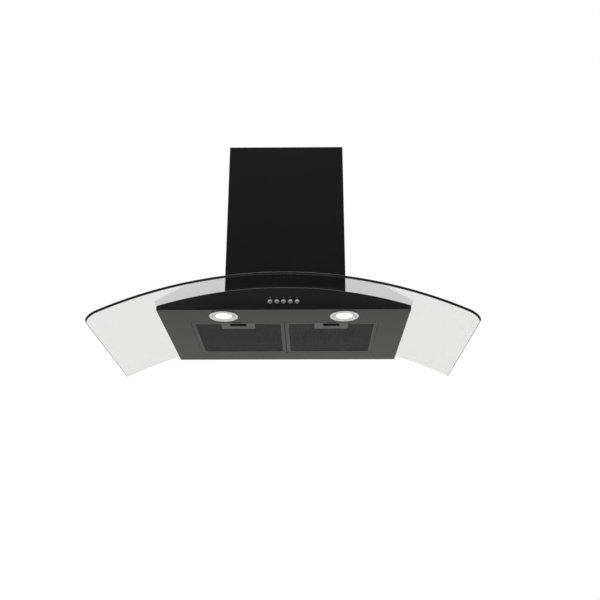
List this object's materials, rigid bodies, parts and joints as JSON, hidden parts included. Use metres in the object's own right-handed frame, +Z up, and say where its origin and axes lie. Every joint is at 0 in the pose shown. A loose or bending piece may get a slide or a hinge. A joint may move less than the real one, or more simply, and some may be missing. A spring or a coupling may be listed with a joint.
{
  "type": "range hood",
  "caption": "Wall-mounted black range hood with a curved glass canopy, telescopic chimney, push buttons, round lamps and tilt-down mesh filters.",
  "frame": {"origin": "on the wall plane, mid-width, at the level of the canopy's flat underside", "axes": "+X along the hood's width to a viewer's right, +Y into the wall, +Z up"},
  "size_m": [0.907, 0.475, 0.5751],
  "materials": {
    "black_steel": "satin black powder coat",
    "toughened_glass": "polished, clear",
    "black_rubber": "matte",
    "galvanised_steel": "zinc coated, dull",
    "zinc_screws": "bright zinc",
    "polished_cap": "polished",
    "aluminium_sheet": "anodised grey",
    "aluminium_mesh": "expanded aluminium",
    "black_plastic": "moulded",
    "grey_plastic": "moulded",
    "white_plastic": "moulded",
    "motor_enamel": "enamelled",
    "ground_steel": "ground",
    "spring_steel": "bright",
    "lamp_ring_steel": "satin",
    "frosted_lens": "frosted",
    "button_silver": "metallic silver",
    "lead_sheath": "PVC sheath"
  },
  "bodies": {
    "hood": {"bottom_pan": "black_steel", "front_panel": "black_steel", "rear_panel": "galvanised_steel", "top_cover": "black_steel", "body_screws": "zinc_screws", "glass_canopy": "toughened_glass", "glass_gasket": "black_rubber", "glass_screws": "polished_cap", "motor_chamber": "galvanised_steel", "chamber_top_plate": "galvanised_steel", "outlet_adapter": "black_plastic", "outlet_collar": "black_plastic", "damper_pin": "ground_steel", "scroll_housing": "black_plastic", "scroll_cover": "black_plastic", "motor_body": "motor_enamel", "motor_bracket": "galvanised_steel", "capacitor": "white_plastic", "junction_box": "grey_plastic", "junction_box_cover": "grey_plastic", "cable_gland": "black_plastic", "switch_block": "white_plastic", "canopy_leads": "lead_sheath", "motor_lead": "lead_sheath", "lamp_housings": "white_plastic", "lamp_screws": "zinc_screws", "chimney_lower": "black_steel", "chimney_clips": "galvanised_steel", "wall_bracket": "galvanised_steel", "lamp_bezel_left": "lamp_ring_steel", "lamp_lens_left": "frosted_lens", "filter_left_keeper": "spring_steel", "lamp_bezel_right": "lamp_ring_steel", "lamp_lens_right": "frosted_lens", "filter_right_keeper": "spring_steel"},
    "upper_chimney": {"chimney_upper": "black_steel", "chimney_bracket": "galvanised_steel"},
    "fan": {"impeller": "grey_plastic", "motor_shaft": "ground_steel", "impeller_nut": "zinc_screws"},
    "damper_left": {"damper_flap_left": "black_plastic"},
    "damper_right": {"damper_flap_right": "black_plastic"},
    "push_power": {"button_power": "button_silver"},
    "push_low": {"button_low": "button_silver"},
    "push_medium": {"button_medium": "button_silver"},
    "push_high": {"button_high": "button_silver"},
    "push_light": {"button_light": "button_silver"},
    "filter_left": {"filter_left_frame": "aluminium_sheet", "filter_left_mesh": "aluminium_mesh", "filter_left_handle": "aluminium_sheet", "filter_left_pocket": "black_plastic", "filter_left_spring": "spring_steel"},
    "latch_left": {"filter_left_latch": "black_plastic"},
    "filter_right": {"filter_right_frame": "aluminium_sheet", "filter_right_mesh": "aluminium_mesh", "filter_right_handle": "aluminium_sheet", "filter_right_pocket": "black_plastic", "filter_right_spring": "spring_steel"},
    "latch_right": {"filter_right_latch": "black_plastic"}
  },
  "joints": [
    {"name": "chimney_slide", "type": "slide", "parent": "hood", "child": "upper_chimney", "axis": [0, 0, 1], "range_m": [0, 0.33]},
    {"name": "fan_spin", "type": "hinge", "parent": "hood", "child": "fan", "pos_m": [-0.034, -0.135, 0.172], "axis": [0, 1, 0], "continuous": true},
    {"name": "damper_left_swing", "type": "hinge", "parent": "hood", "child": "damper_left", "pos_m": [0, -0.135, 0.3713], "axis": [0, 1, 0], "range_deg": [0, 75]},
    {"name": "damper_right_swing", "type": "hinge", "parent": "hood", "child": "damper_right", "pos_m": [0, -0.135, 0.3713], "axis": [0, -1, 0], "range_deg": [0, 75]},
    {"name": "power_press", "type": "slide", "parent": "hood", "child": "push_power", "axis": [0, 1, 0], "range_m": [0, 0.003], "stiffness_N_per_m": 400},
    {"name": "low_press", "type": "slide", "parent": "hood", "child": "push_low", "axis": [0, 1, 0], "range_m": [0, 0.003], "stiffness_N_per_m": 400},
    {"name": "medium_press", "type": "slide", "parent": "hood", "child": "push_medium", "axis": [0, 1, 0], "range_m": [0, 0.003], "stiffness_N_per_m": 400},
    {"name": "high_press", "type": "slide", "parent": "hood", "child": "push_high", "axis": [0, 1, 0], "range_m": [0, 0.003], "stiffness_N_per_m": 400},
    {"name": "light_press", "type": "slide", "parent": "hood", "child": "push_light", "axis": [0, 1, 0], "range_m": [0, 0.003], "stiffness_N_per_m": 400},
    {"name": "filter_left_tilt", "type": "hinge", "parent": "hood", "child": "filter_left", "pos_m": [-0.116, -0.06, 0.0011], "axis": [1, 0, 0], "range_deg": [0, 45], "deforming": ["filter_left_keeper"]},
    {"name": "latch_left_slide", "type": "slide", "parent": "filter_left", "child": "latch_left", "axis": [0, 1, 0], "range_m": [0, 0.006], "stiffness_N_per_m": 300, "deforming": ["filter_left_spring"]},
    {"name": "filter_right_tilt", "type": "hinge", "parent": "hood", "child": "filter_right", "pos_m": [0.116, -0.06, 0.0011], "axis": [1, 0, 0], "range_deg": [0, 45], "deforming": ["filter_right_keeper"]},
    {"name": "latch_right_slide", "type": "slide", "parent": "filter_right", "child": "latch_right", "axis": [0, 1, 0], "range_m": [0, 0.006], "stiffness_N_per_m": 300, "deforming": ["filter_right_spring"]}
  ]
}
